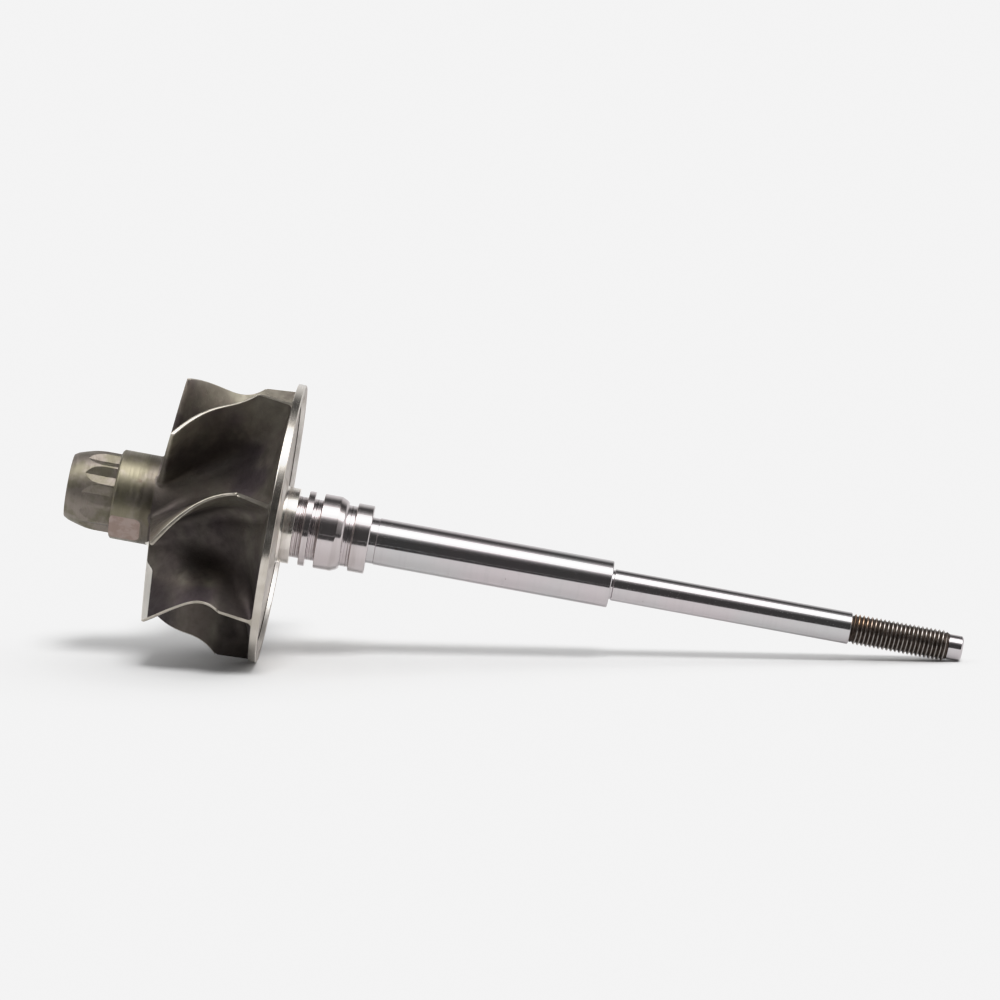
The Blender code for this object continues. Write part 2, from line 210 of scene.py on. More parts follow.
def castAlloy(name, grind=None):
    # Blasted casting skin: fine grain, cloudy olive, brown and purple, worn paler in places, and painted
    # shade over the passages
    look = castLook
    metal = Metal(name, look["metallic"])
    cloud = metal.noise(look["brownScale"])
    colour = metal.mix(metal.spread(cloud, *look["brownRange"]), look["olive"], look["brown"])
    drift = metal.noise(look["purpleScale"], detail=2, rough=0.5, shift=31.0)
    colour = metal.mix(metal.spread(drift, *look["purpleRange"]), colour, look["purple"])
    grain = metal.noise(look["grainScale"], rough=0.65)
    worn = metal.spread(grain, *look["paleRange"], 0.0, look["paleMost"])
    colour = metal.mix(worn, colour, look["pale"])
    # Painted shade: dark deep in the passages, low down and in the rear
    paintedShade = paintedPassageShade(metal)
    colour = metal.mix(paintedShade, colour, passageShadeLook["colour"])
    pits = metal.noise(look["pitScale"], detail=2, rough=0.5, shift=7.0)
    normal = metal.bump(grain, look["grainDepth"])
    normal = metal.bump(metal.spread(pits, *look["pitRange"]), look["pitDepth"], normal)
    roughness = metal.roughnessFrom(metal.noise(look["roughScale"], shift=3.0), look)
    roughness = metal.math("MULTIPLY_ADD", paintedShade, passageShadeLook["rough"], roughness)
    if grind:
        share, streaks = groundStrip(metal, grind)
        colour = metal.mix(share, colour, streaks)
        roughness = metal.mixValue(share, roughness, grind["rough"])
        metallic = metal.mixValue(share, look["metallic"], 1.0)
        metal.tree.links.new(metallic, metal.shader.inputs["Metallic"])
    return metal.finish(colour, roughness, normal)


machinedShared = {
    "tintRange": (0.42, 0.60), "stainScale": 0.35, "stainRange": (0.58, 0.74), "grainScale": 1.6,
}


def machinedAlloy(name, look):
    # Turned or hobbed casting alloy: lathe lines, heat tint in patches and a little staining
    shared = machinedShared
    metal = Metal(name)
    if "edgeTint" in look:
        # Less shine at a glancing angle
        metal.shader.inputs["Specular Tint"].default_value = (*look["edgeTint"], 1)
    cloud = metal.noise(look["patch"], shift=look.get("shift", 0.0))
    colour = metal.mix(metal.spread(cloud, *shared["tintRange"]), look["colour"], look["tint"])
    stain = metal.noise(shared["stainScale"], shift=17.0)
    stained = metal.spread(stain, *shared["stainRange"], 0.0, look["stain"])
    colour = metal.mix(stained, colour, look["stainColour"])
    if "paintedShadeStations" in look:
        # Painted shade that deepens towards the blade roots
        ragged = metal.noise(look["raggedScale"], shift=41.0)
        uneven = metal.math("MULTIPLY_ADD", ragged, look["ragged"], metal.station)
        paintedShade = metal.spread(uneven, *look["paintedShadeStations"], 0.0, look["paintedShadeMost"])
        colour = metal.mix(paintedShade, colour, look["paintedShadeColour"])
    cut = metal.lines(look["lines"])
    normal = metal.bump(cut, look["lineDepth"])
    normal = metal.bump(metal.noise(shared["grainScale"]), look["grainDepth"], normal)
    return metal.finish(colour, metal.roughnessFrom(cut, look), normal)


noseLook = {
    "colour": (0.245, 0.214, 0.186), "tint": (0.180, 0.163, 0.122), "stainColour": (0.11, 0.085, 0.068),
    "patch": 0.22, "stain": 0.5, "lines": 4.5, "lineDepth": 0.0022, "grainDepth": 0.008,
    "roughLow": 0.44, "roughHigh": 0.56,
}
collarLook = {
    "colour": (0.265, 0.236, 0.196), "tint": (0.215, 0.195, 0.140), "stainColour": (0.165, 0.120, 0.095),
    "patch": 0.18, "stain": 0.7, "lines": 3.0, "lineDepth": 0.0022, "grainDepth": 0.010,
    # Painted shade towards the blade roots: its colour, stations, strength and ragged edge
    "roughLow": 0.36, "roughHigh": 0.50, "shift": 5.0, "paintedShadeColour": (0.075, 0.062, 0.050),
    "paintedShadeStations": (16.0, 18.6), "paintedShadeMost": 0.55, "raggedScale": 0.45, "ragged": 3.2,
}
flatLook = {
    "colour": (0.36, 0.285, 0.255), "tint": (0.30, 0.225, 0.195), "stainColour": (0.20, 0.145, 0.12),
    "patch": 0.4, "stain": 0.5, "lines": 1.5, "lineDepth": 0.004, "grainDepth": 0.008,
    "roughLow": 0.34, "roughHigh": 0.46, "shift": 2.0,
}
edgeLook = {
    "colour": (0.50, 0.46, 0.40), "tint": (0.40, 0.365, 0.31), "stainColour": (0.20, 0.17, 0.145),
    "patch": 0.30, "stain": 0.4, "lines": 1.6, "lineDepth": 0.0005, "grainDepth": 0.001,
    "roughLow": 0.33, "roughHigh": 0.40,
}
rimLook = {
    "colour": (0.62, 0.575, 0.52), "tint": (0.52, 0.475, 0.42), "stainColour": (0.34, 0.30, 0.26),
    "patch": 0.10, "stain": 0.35, "lines": 6.5, "lineDepth": 0.0008, "grainDepth": 0.0008,
    "roughLow": 0.15, "roughHigh": 0.22,
}
faceLook = {
    "colour": (0.72, 0.685, 0.65), "tint": (0.63, 0.595, 0.56), "stainColour": (0.48, 0.44, 0.40),
    "patch": 0.10, "stain": 0.3, "lines": 5.0, "lineDepth": 0.0012, "grainDepth": 0.001,
    "roughLow": 0.29, "roughHigh": 0.37, "edgeTint": (0.45, 0.42, 0.40),
}
# Near black metal on the recess wall behind the rim lip: painted shade for the recess corner
recessShadeLook = {
    "colour": (0.022, 0.018, 0.016), "tint": (0.032, 0.027, 0.024), "stainColour": (0.014, 0.011, 0.010),
    "patch": 0.05, "stain": 0.8, "lines": 6.0, "lineDepth": 0.002, "grainDepth": 0.003,
    "roughLow": 0.45, "roughHigh": 0.6, "edgeTint": (0.2, 0.19, 0.18),
}
weldLook = {
    "colour": (0.80, 0.74, 0.70), "tint": (0.70, 0.66, 0.60), "stainColour": (0.50, 0.38, 0.34),
    "patch": 0.20, "stain": 0.6, "lines": 4.0, "lineDepth": 0.0010, "grainDepth": 0.0015,
    "roughLow": 0.14, "roughHigh": 0.22,
}

journalRadius = 5.08
groundShared = {
    "cloudScale": 0.06, "warmRange": (0.35, 0.65), "wideLines": 0.12, "wearRange": (0.45, 0.75),
    "speckScale": 1.3, "speckRange": (0.74, 0.80), "speckMost": 0.6, "speckRoughRange": (0.70, 0.80),
    "speckRough": 0.15, "nickCore": 0.6,
}


def groundSteel(name, look):
    # Ground and polished: faint lines, a cloudy bluish to pinkish grey, a few stains
    shared = groundShared
    metal = Metal(name)
    cloud = metal.noise(shared["cloudScale"], detail=2, rough=0.5, shift=look.get("shift", 0.0))
    colour = metal.mix(metal.spread(cloud, *shared["warmRange"]), look["cool"], look["warm"])
    fine = metal.lines(look["lines"], detail=3)
    wide = metal.lines(look["lines"] * shared["wideLines"], shift=9.0)
    colour = metal.mix(metal.spread(wide, *shared["wearRange"], 0.0, look["wear"]), colour, look["dull"])
    specks = metal.noise(shared["speckScale"], detail=2, rough=0.5, shift=23.0)
    specked = metal.spread(specks, *shared["speckRange"], 0.0, shared["speckMost"])
    colour = metal.mix(specked, colour, look["speck"])
    for station, degrees, size in look.get("nicks", ()):
        # Single dark nicks, placed by station and turn angle
        spot = around(station, journalRadius, math.radians(degrees))
        gap = metal.node("VectorMath", {0: metal.place, 1: spot}, operation="DISTANCE").outputs["Value"]
        nicked = metal.spread(gap, size * shared["nickCore"], size, 1.0, 0.0)
        colour = metal.mix(nicked, colour, look["speck"])
    normal = metal.bump(fine, look["lineDepth"])
    dulled = metal.spread(specks, *shared["speckRoughRange"], 0.0, shared["speckRough"])
    roughness = metal.math("ADD", metal.roughnessFrom(fine, look), dulled)
    return metal.finish(colour, roughness, normal)


sealLook = {
    "cool": (0.56, 0.53, 0.53), "warm": (0.58, 0.525, 0.53), "dull": (0.42, 0.37, 0.36),
    "speck": (0.2, 0.16, 0.14), "lines": 5.0, "lineDepth": 0.0012, "wear": 0.5,
    "roughLow": 0.10, "roughHigh": 0.16,
}
grooveLook = {
    "cool": (0.54, 0.51, 0.51), "warm": (0.56, 0.50, 0.51), "dull": (0.20, 0.165, 0.16),
    "speck": (0.2, 0.16, 0.14), "lines": 22.0, "lineDepth": 0.0012, "wear": 1.0,
    "roughLow": 0.12, "roughHigh": 0.20,
}
shaftLook = {
    "cool": (0.535, 0.525, 0.53), "warm": (0.565, 0.515, 0.53), "dull": (0.47, 0.44, 0.45),
    "speck": (0.22, 0.18, 0.16), "lines": 7.0, "lineDepth": 0.0006, "wear": 0.3,
    "roughLow": 0.08, "roughHigh": 0.13, "shift": 4.0, "nicks": ((71.1, -1.0, 0.30), (95.0, -26.0, 0.14)),
}
threadLook = {
    "root": (0.050, 0.037, 0.030), "flank": (0.10, 0.078, 0.066), "crest": (0.54, 0.50, 0.47),
    "orange": (0.62, 0.34, 0.16), "wornRadii": (3.02, 3.29), "dirtScale": 1.2, "dirtRange": (0.2, 0.5),
    "dirtyShare": 0.7, "flankRange": (0.4, 0.65), "tintStations": (170.0, 177.0), "tintMost": 0.75,
    "highlightTintUp": (0.6, 2.0), "grainScale": 5, "grainDepth": 0.002, "wornRange": (0.2, 0.9),
    "rough": (0.5, 0.24),
}


def threadSteel(name):
    # Dark flanks and roots, bright crests, and an orange brown tint over the first turns, kept to the upper
    # side as a partly painted highlight colour
    look = threadLook
    metal = Metal(name)
    height = metal.spread(metal.radius, *look["wornRadii"])
    dirt = metal.noise(look["dirtScale"])
    worn = metal.math("MULTIPLY", height, metal.spread(dirt, *look["dirtRange"], look["dirtyShare"], 1.0))
    dark = metal.mix(metal.spread(dirt, *look["flankRange"]), look["root"], look["flank"])
    tint = metal.spread(metal.station, *look["tintStations"], look["tintMost"], 0.0)
    # The tint shows on the upper side only, where the highlight falls: partly painted highlight
    upper = metal.spread(metal.up, *look["highlightTintUp"])
    crest = metal.mix(metal.math("MULTIPLY", tint, upper), look["crest"], look["orange"])
    colour = metal.mix(worn, dark, crest)
    normal = metal.bump(metal.noise(look["grainScale"], detail=2), look["grainDepth"])
    roughness = metal.spread(worn, *look["wornRange"], *look["rough"])
    return metal.finish(colour, roughness, normal)


metals = {
    "cast": castAlloy("castSkin"),
    "castStrip": castAlloy("castSkinGround", grindStrip),
    "nose": machinedAlloy("noseTurned", noseLook),
    "collar": machinedAlloy("collarTurned", collarLook),
    "flat": machinedAlloy("balanceGround", flatLook),
    "edge": machinedAlloy("edgeGround", edgeLook),
    "rim": machinedAlloy("rimTurned", rimLook),
    "face": machinedAlloy("backFaceTurned", faceLook),
    "recessShade": machinedAlloy("rimRecessPaintedShade", recessShadeLook),
    "weld": machinedAlloy("weldTinted", weldLook),
    "seal": groundSteel("sealGround", sealLook),
    "groove": groundSteel("grooveTurned", grooveLook),
    "shaft": groundSteel("shaftGround", shaftLook),
    "thread": threadSteel("threadRolled"),
}
print("metals", len(metals))


# shape tools
def softened(outline, steps=3, support=0.06, cornerShare=0.45):
    # Outline spots are (station, radius) or (station, radius, corner). A corner becomes a short curve,
    # with a support point before and after it where there is room.
    points = []
    room = 3 * support
    for index, spot in enumerate(outline):
        here = Vector(spot[:2])
        if len(spot) == 2:
            points.append(here)
            continue
        ends = []
        for other in (outline[index - 1], outline[index + 1]):
            way = Vector(other[:2]) - here
            reach = min(spot[2], cornerShare * way.length)
            ends.append((here + way.normalized() * reach, way.normalized(), way.length - reach))
        first, last = ends
        if first[2] > room:
            points.append(first[0] + first[1] * support)
        for step in range(steps + 1):
            share = step / steps
            curve = first[0] * (1 - share) ** 2 + here * 2 * share * (1 - share) + last[0] * share**2
            points.append(curve)
        if last[2] > room:
            points.append(last[0] + last[1] * support)
    return points


def turnedMesh(outline, sides):
    # A ring of points for each spot of the outline, with a flat face on the first and the last
    bm = bmesh.new()
    rings = []
    for station, radius in outline:
        rings.append([bm.verts.new(around(station, radius, fullTurn * i / sides)) for i in range(sides)])
    for front, back in zip(rings, rings[1:]):
        for i in range(sides):
            j = (i + 1) % sides
            bm.faces.new((front[i], front[j], back[j], back[i]))
    bm.faces.new(rings[0])
    bm.faces.new(rings[-1])
    return bm


def addPiece(name, node, bm, metalNames, sharp=28.0):
    if bm.calc_volume(signed=True) < 0:
        bmesh.ops.reverse_faces(bm, faces=bm.faces[:])
    mesh = bpy.data.meshes.new(name)
    bm.to_mesh(mesh)
    bm.free()
    mesh.shade_smooth()
    mesh.set_sharp_from_angle(angle=math.radians(sharp))
    for metalName in metalNames:
        mesh.materials.append(metals[metalName])
    spots = np.empty(len(mesh.vertices) * 3, np.float32)
    mesh.vertices.foreach_get("co", spots)
    mesh.attributes.new("rotor", "FLOAT_VECTOR", "POINT").data.foreach_set("vector", spots)
    mesh.transform(rotorToWorld)
    piece = bpy.data.objects.new(name, mesh)
    scene.collection.objects.link(piece)
    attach(piece, "root")
    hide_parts(node)
    return piece


def addTurned(name, node, outline, metalName, sides=160):
    return addPiece(name, node, turnedMesh(softened(outline), sides), [metalName])


# nose with its twelve point drive
nose = {
    "chamfer": ((0.0, 6.7), (0.06, 6.77), (0.94, 7.27)), "chamferBack": 1.0, "chamferRadius": 7.3,
    "full": 7.4, "fullRadius": 8.58, "back": 10.02,
    "points": 12, "pointRadius": 8.68, "phase": math.radians(17.5), "runOut": (2.6, 5.4), "lift": 0.27,
    "columns": (0, 1.3, 1.5, 2.6, 4, 6, 8, 10, 12, 13.6, 14.6), "barrelRows": 12, "fluteRows": 10,
    "halvings": 30,
}


def barrelRadius(station):
    rise = min(max((station - nose["chamferBack"]) / (nose["full"] - nose["chamferBack"]), 0), 1)
    return between((nose["chamferRadius"], nose["fullRadius"]), math.sin(rise * math.pi / 2))


def fluteRadius(offPoint, station):
    # The two hexagons, whose flutes run out a little towards the front
    pitch = fullTurn / nose["points"]
    star = nose["pointRadius"] * math.cos(pitch) / math.cos(pitch - offPoint)
    return star + nose["lift"] * (1 - blend(*nose["runOut"], station))


def fluteStart(offPoint):
    # Station where the turned barrel grows past the flute
    low, high = nose["chamferBack"], nose["full"]
    for _ in range(nose["halvings"]):
        middle = (low + high) / 2
        if barrelRadius(middle) < fluteRadius(offPoint, middle):
            low = middle
        else:
            high = middle
    return low


def noseMesh():
    # Columns run from the face to the back, closest together beside each point of the drive
    offsets = [math.radians(degrees) for degrees in nose["columns"]]
    pitch = fullTurn / nose["points"]
    half = pitch / 2
    columns = []
    for point in range(nose["points"]):
        centre = nose["phase"] + point * pitch
        columns += [(centre + off, off) for off in offsets]
        columns.append((centre + half, half))
        columns += [(centre + pitch - off, off) for off in reversed(offsets[1:])]
    bm = bmesh.new()
    lines = []
    for turn, off in columns:
        start = fluteStart(off)
        spots = list(nose["chamfer"])
        for row in range(nose["barrelRows"] + 1):
            station = nose["chamferBack"] + (start - nose["chamferBack"]) * row / nose["barrelRows"]
            spots.append((station, barrelRadius(station)))
        for row in range(1, nose["fluteRows"] + 1):
            station = start + (nose["back"] - start) * row / nose["fluteRows"]
            spots.append((station, min(fluteRadius(off, station), barrelRadius(station))))
        lines.append([bm.verts.new(around(s, r, turn)) for s, r in spots])
    for i, line in enumerate(lines):
        after = lines[(i + 1) % len(lines)]
        for row in range(len(line) - 1):
            bm.faces.new((line[row], after[row], after[row + 1], line[row + 1]))
    bm.faces.new([line[0] for line in lines])
    bm.faces.new([line[-1] for line in lines])
    return bm


addPiece("noseDrive", "nose_drive", noseMesh(), ["nose"], sharp=13.0)
print("nose")

# collar with the flat ground to balance the rotor
collar = {
    "outline": [(9.5, 7.6), (10.1, 7.6), (10.1, 9.2, 0.05), (10.48, 9.6, 0.08), (18.65, 9.6)], "sides": 192,
    "flatTurn": math.radians(-42), "flatRadius": 8.9, "flatBack": 17.3, "corner": 2.0, "cutLength": 14.4,
    "cutWidth": 8.2, "cutHeight": 4.0, "cutSegments": 10, "ramp": 0.55, "rampSegments": 6,
    "flatAlike": 0.999, "flatMargin": 0.01,
}


def flatCutter():
    # A block with rounded upright edges for the flat's corners, and rounded at its foot for the ramp
    cut = bmesh.new()
    length, width, height = collar["cutLength"], collar["cutWidth"], collar["cutHeight"]
    bmesh.ops.create_cube(cut, size=1)
    bmesh.ops.scale(cut, vec=(length, width, height), verts=cut.verts)
    upright = [e for e in cut.edges if abs(e.verts[0].co.z - e.verts[1].co.z) > height / 2]
    bmesh.ops.bevel(cut, geom=upright, offset=collar["corner"], segments=collar["cutSegments"],
                    affect="EDGES", profile=0.5)
    under = [e for e in cut.edges if max(v.co.z for v in e.verts) < 0]
    bmesh.ops.bevel(cut, geom=under, offset=collar["ramp"], segments=collar["rampSegments"],
                    affect="EDGES", profile=0.5)
    centre = (collar["flatBack"] - length / 2, 0, collar["flatRadius"] + height / 2)
    bmesh.ops.translate(cut, vec=centre, verts=cut.verts)
    # Turn the block from straight up to the flat's own angle
    spin = Matrix.Rotation(math.pi / 2 - collar["flatTurn"], 4, "X")
    bmesh.ops.transform(cut, matrix=spin, verts=cut.verts)
    return cut


def linked(name, bm):
    made = bpy.data.objects.new(name, bpy.data.meshes.new(name))
    bm.to_mesh(made.data)
    bm.free()
    scene.collection.objects.link(made)
    return made


def collarMesh():
    # Cuts the flat and gives its faces the second metal
    blank = turnedMesh(softened(collar["outline"]), collar["sides"])
    bmesh.ops.recalc_face_normals(blank, faces=blank.faces[:])
    body = linked("collarBlank", blank)
    cutter = linked("flatCutter", flatCutter())
    grind = body.modifiers.new("grind", "BOOLEAN")
    grind.operation = "DIFFERENCE"
    grind.solver = "EXACT"
    grind.object = cutter
    ready = body.evaluated_get(bpy.context.evaluated_depsgraph_get())
    made = bmesh.new()
    made.from_mesh(ready.to_mesh())
    ready.to_mesh_clear()
    facing = Vector(around(0, 1, collar["flatTurn"]))
    reach = collar["flatRadius"] + collar["flatMargin"]
    for face in made.faces:
        height = face.calc_center_median().dot(facing)
        if face.normal.dot(facing) > collar["flatAlike"] and height < reach:
            face.material_index = 1
    for item in (body, cutter):
        bpy.data.objects.remove(item)
    return made


addPiece("noseCollar", "nose_collar", collarMesh(), ["collar", "flat"], sharp=20.0)
print("collar")

# core of the wheel: a quarter ellipse from the collar to the disc
core = {
    "front": 18.6, "discFront": 44.25, "hubRadius": 9.6, "discRadius": 30.17, "split": math.radians(41),
    "flareEnd": math.radians(86), "hubSteps": 36, "flareSteps": 40, "sides": 224,
}
disc = {
    "rimRadius": 30.07, "lipRadius": 27.5, "recessShadeBack": 45.3, "castMargin": 0.01, "rimMargin": 0.2,
    "recessShadeMargin": 0.4,
    "rim": [(44.25, 29.77), (44.27, 30.07, 0.2), (45.83, 30.07, 0.04), (45.95, 29.91, 0.04)],
    "recess": [(45.94, 27.5, 0.1), (44.95, 27.2, 0.1), (44.95, 20.0)],
    "neckFillet": [(45.05, 10.2, 0.6), (46.0, 8.7, 0.3), (46.0, 8.0)],
}


def corePoint(angle):
    station = core["front"] + (core["discFront"] - core["front"]) * math.sin(angle)
    radius = core["discRadius"] - (core["discRadius"] - core["hubRadius"]) * math.cos(angle)
    return station, radius


def coreArc(first, last, steps):
    return [corePoint(first + (last - first) * i / steps) for i in range(steps + 1)]


def discMesh():
    # The flare, the turned rim, a lip around a recessed back face with painted shade on the recess wall,
    # and a fillet up to the neck
    outline = coreArc(core["split"], core["flareEnd"], core["flareSteps"])
    outline += softened(disc["rim"] + disc["recess"] + disc["neckFillet"])
    bm = turnedMesh(outline, core["sides"])
    for face in bm.faces:
        centre = face.calc_center_median()
        reach = math.hypot(centre.y, centre.z)
        if centre.x < core["discFront"] - disc["castMargin"] or len(face.verts) > 4:
            face.material_index = 0
        elif reach > disc["rimRadius"] - disc["rimMargin"]:
            face.material_index = 1
        # The recess wall behind the lip: near black metal as painted shade
        elif reach > disc["lipRadius"] - disc["recessShadeMargin"] and centre.x < disc["recessShadeBack"]:
            face.material_index = 2
        else:
            face.material_index = 3
    return bm


addPiece("wheelHub", "wheel_hub", turnedMesh(coreArc(0, core["split"], core["hubSteps"]), core["sides"]),
         ["cast"])
addPiece("backDisc", "back_disc", discMesh(), ["cast", "rim", "recessShade", "face"])
print("core")

# blades
blade = {
    "count": 7, "phase": math.radians(17.6), "wrap": math.radians(28.5), "back": math.radians(3),
    "tipFront": 20.95, "tipFrontRadius": 27.1, "apex": 36.8, "apexRadius": 30.0, "bend": 29.7, "power": 2.4,
    "rootThick": (2.0, 0.95), "rootThins": (0.55, 1.0), "tipThick": (0.94, 0.66), "tipThins": (0.05, 0.60),
    "footFront": math.radians(1), "footBack": math.radians(89.2), "outerLimit": 30.06,
    "filletEnds": (0.8, 1.0), "filletMiddle": 2.6,
    "filletSwells": (0.0, 0.22), "filletShrinks": (0.80, 1.0),
    "columns": 44, "rows": 12, "lowRows": (-0.04, 0.0, 0.02, 0.06, 0.13, 0.24, 0.40, 0.62, 1.0),
    "crown": ((0.28, 1.0), (0.19, 0.95), (0.10, 0.82), (0.035, 0.60), (0.0, 0.30)),
    "edgeSteps": 6, "bulge": 0.5, "seatFront": 14.0, "collarSeats": 60, "coreSeats": 700,
}


def coreTable():
    # Fine points along the core with their outward direction, for seating the fillets
    stations = np.linspace(blade["seatFront"], core["front"], blade["collarSeats"], endpoint=False)
    spots = [(station, core["hubRadius"]) for station in stations]
    spots += [corePoint(angle) for angle in np.linspace(0, math.pi / 2, blade["coreSeats"])]
    spots = np.array(spots)
    run = np.gradient(spots, axis=0)
    run /= np.linalg.norm(run, axis=1)[:, None]
    return spots, run, np.stack([-run[:, 1], run[:, 0]], axis=1)


coreSpots, coreRun, coreOut = coreTable()


def seated(station, radius, distance):
    # Moves a point to a set distance off the core's surface
    here = np.array((station, radius))
    near = int(np.argmin(((coreSpots - here) ** 2).sum(axis=1)))
    along = (here - coreSpots[near]) @ coreRun[near]
    made = coreSpots[near] + coreRun[near] * along + coreOut[near] * distance
    return float(made[0]), min(float(made[1]), blade["outerLimit"])


def bladeAngle(station):
    if station < blade["apex"]:
        return -blade["wrap"] * ((blade["apex"] - station) / (blade["apex"] - blade["tipFront"])) ** 2
    return -blade["back"] * (station - blade["apex"]) / (core["discFront"] - blade["apex"])


def bladeTwist(station, step=0.05):
    return (bladeAngle(station + step) - bladeAngle(station - step)) / (2 * step)


def shroudRadius(station):
    bend = min(max(0, (station - blade["bend"]) / (blade["apex"] - blade["bend"])), 1)
    return between((blade["tipFrontRadius"], blade["apexRadius"]), bend ** blade["power"])


def bladeLine(share):
    # One radial line: its foot and top, its rows as (height share, distance off the core, drop, width),
    # its fillet and its thickness at the root and the tip
    foot = Vector(corePoint(between((blade["footFront"], blade["footBack"]), share)))
    station = between((blade["tipFront"], blade["apex"]), share)
    top = Vector((station, shroudRadius(station)))
    length = (top - foot).length
    front, back = blade["filletEnds"]
    swell = blend(*blade["filletSwells"], share) * (1 - blend(*blade["filletShrinks"], share))
    fillet = (front if share < 0.5 else back) * (1 - swell) + blade["filletMiddle"] * swell
    rows = [(d * fillet / length, d * fillet, 0.0, 1.0) for d in blade["lowRows"]]
    first = rows[-1][0]
    for row in range(1, blade["rows"]):
        height = first + (1 - first) * row / blade["rows"]
        rows.append((height, height * length, 0.0, 1.0))
    for drop, width in blade["crown"]:
        rows.append((1.0, length, drop, width))
    # The root thins towards the rim, and the top edge from the front to the middle
    root = between(blade["rootThick"], blend(*blade["rootThins"], share))
    tip = between(blade["tipThick"], blend(*blade["tipThins"], share))
    return foot, top, rows, fillet, root, tip


def bladeSpot(line, row, across, ahead, turn):
    # across and ahead are in half thicknesses; ahead is measured from the blade's own edge
    foot, top, rows, fillet, root, tip = line
    height, distance, drop, width = rows[row]
    station = foot.x + (top.x - foot.x) * height
    radius = foot.y + (top.y - foot.y) * height
    half = (root + (tip - root) * max(height, 0)) / 2
    grow = 0.0
    if distance < fillet:
        left = fillet - max(distance, 0)
        grow = fillet - math.sqrt(max(fillet**2 - left**2, 0))
    lean = radius * bladeTwist(station)
    size = math.hypot(lean, 1)
    aside = across * (half + grow) * width
    forward = 0.0
    if ahead is not None:
        centre, push = ahead
        forward = centre * half + push * (half + grow) * width
    x = station + (forward - lean * aside) / size
    flat = Vector((radius, (aside + lean * forward) / size))
    reach = flat.length
    swing = bladeAngle(station) + math.atan2(flat.y, flat.x)
    if distance < fillet:
        x, reach = seated(x, reach, distance)
    elif height == 1.0:
        reach = shroudRadius(x) - drop
    return around(x, reach, turn + swing)


def bladeMesh(turn):
    # Each row is a loop: one side, the rim edge, the other side, then the rounded trailing edge
    bm = bmesh.new()
    count = blade["columns"]
    steps = blade["edgeSteps"]
    lines = [bladeLine(i / count) for i in range(count + 1)]
    loops = []
    for row in range(len(lines[0][2])):
        loop = []
        for i, line in enumerate(lines):
            loop.append(bladeSpot(line, row, 1, (1, 0) if i == 0 else None, turn))
        for step in range(1, steps):
            swing = math.pi * step / steps
            bulge = (0, math.sin(swing) * blade["bulge"])
            loop.append(bladeSpot(lines[-1], row, math.cos(swing), bulge, turn))
        for i, line in reversed(list(enumerate(lines))):
            loop.append(bladeSpot(line, row, -1, (1, 0) if i == 0 else None, turn))
        for step in range(1, steps):
            swing = math.pi * step / steps
            loop.append(bladeSpot(lines[0], row, -math.cos(swing), (1, -math.sin(swing)), turn))
        loops.append([bm.verts.new(point) for point in loop])
    size = len(loops[0])
    crowned = len(loops) - len(blade["crown"])
    for row, (low, high) in enumerate(zip(loops, loops[1:])):
        for i in range(size):
            j = (i + 1) % size
            face = bm.faces.new((low[i], low[j], high[j], high[i]))
            ground = row > crowned or count <= i < count + steps
            face.material_index = 1 if ground else 0
    far = 2 * count + steps
    for loop, ground in ((loops[0], 0), (loops[-1], 1)):
        for i in range(count):
            face = bm.faces.new((loop[i], loop[i + 1], loop[far - i - 1], loop[far - i]))
            face.material_index = ground
        bm.faces.new(loop[count:count + steps + 1]).material_index = ground
        bm.faces.new([loop[0]] + loop[far:]).material_index = ground
    return bm


for number in range(blade["count"]):
    turn = blade["phase"] + number * fullTurn / blade["count"]
    skin = "castStrip" if number == blade["count"] - 1 else "cast"
    addPiece(f"blade{number + 1}", f"blade_{number + 1}", bladeMesh(turn), [skin, "edge"],
             sharp=62.0)
print("blades")

# weld neck, seal ring grooves, lands and shoulder
seal = {
    "neck": [(44.9, 9.4), (45.25, 9.0), (46.0, 8.15, 0.5), (48.74, 8.15, 0.06), (48.8, 8.07)],
    "frontGroove": (48.8, 50.8), "rearGroove": (52.2, 54.1), "oilGroove": (59.5, 61.4),
    "grooveRadius": 6.58, "grooveFillet": 0.16, "filletBend": 0.3, "ridges": 4, "ridge": 0.05,
    "ridgeCorners": (0.04, 0.08),
    "land": [(50.8, 7.98), (50.87, 8.07, 0.04), (52.13, 8.07, 0.04), (52.2, 7.98)],
    "hub": [(54.1, 7.98), (54.17, 8.07, 0.04), (57.8, 8.07, 0.1), (59.1, 7.48, 0.1), (59.5, 7.1)],
    "shoulder": [(61.4, 7.25), (61.55, 7.4, 0.06), (64.8, 7.4, 0.06), (65.0, 7.2)],
}


def grooveOutline(front, back):
    # Round bottom corners, and tool marks that show as fine lines
    low = seal["grooveRadius"]
    fillet = seal["grooveFillet"]
    bend = fillet * seal["filletBend"]
    mark = (back - front - 2 * fillet) / seal["ridges"]
    lowCorner, highCorner = seal["ridgeCorners"]
    spots = [(front, low + fillet), (front + bend, low + bend)]
    for step in range(seal["ridges"]):
        start = front + fillet + mark * step
        spots += [(start, low, lowCorner), (start + mark / 2, low + seal["ridge"], highCorner)]
    return spots + [(back - fillet, low), (back - bend, low + bend), (back, low + fillet)]


addTurned("weldNeck", "weld_neck", seal["neck"], "weld")
addTurned("frontRingGroove", "front_ring_groove", grooveOutline(*seal["frontGroove"]), "groove")
addTurned("ringLand", "ring_land", seal["land"], "seal")
addTurned("rearRingGroove", "rear_ring_groove", grooveOutline(*seal["rearGroove"]), "groove")
addTurned("sealHub", "seal_hub", seal["hub"], "seal")
addTurned("oilGroove", "oil_groove", grooveOutline(*seal["oilGroove"]), "groove")
addTurned("journalShoulder", "journal_shoulder", seal["shoulder"], "seal")
print("seal lands")

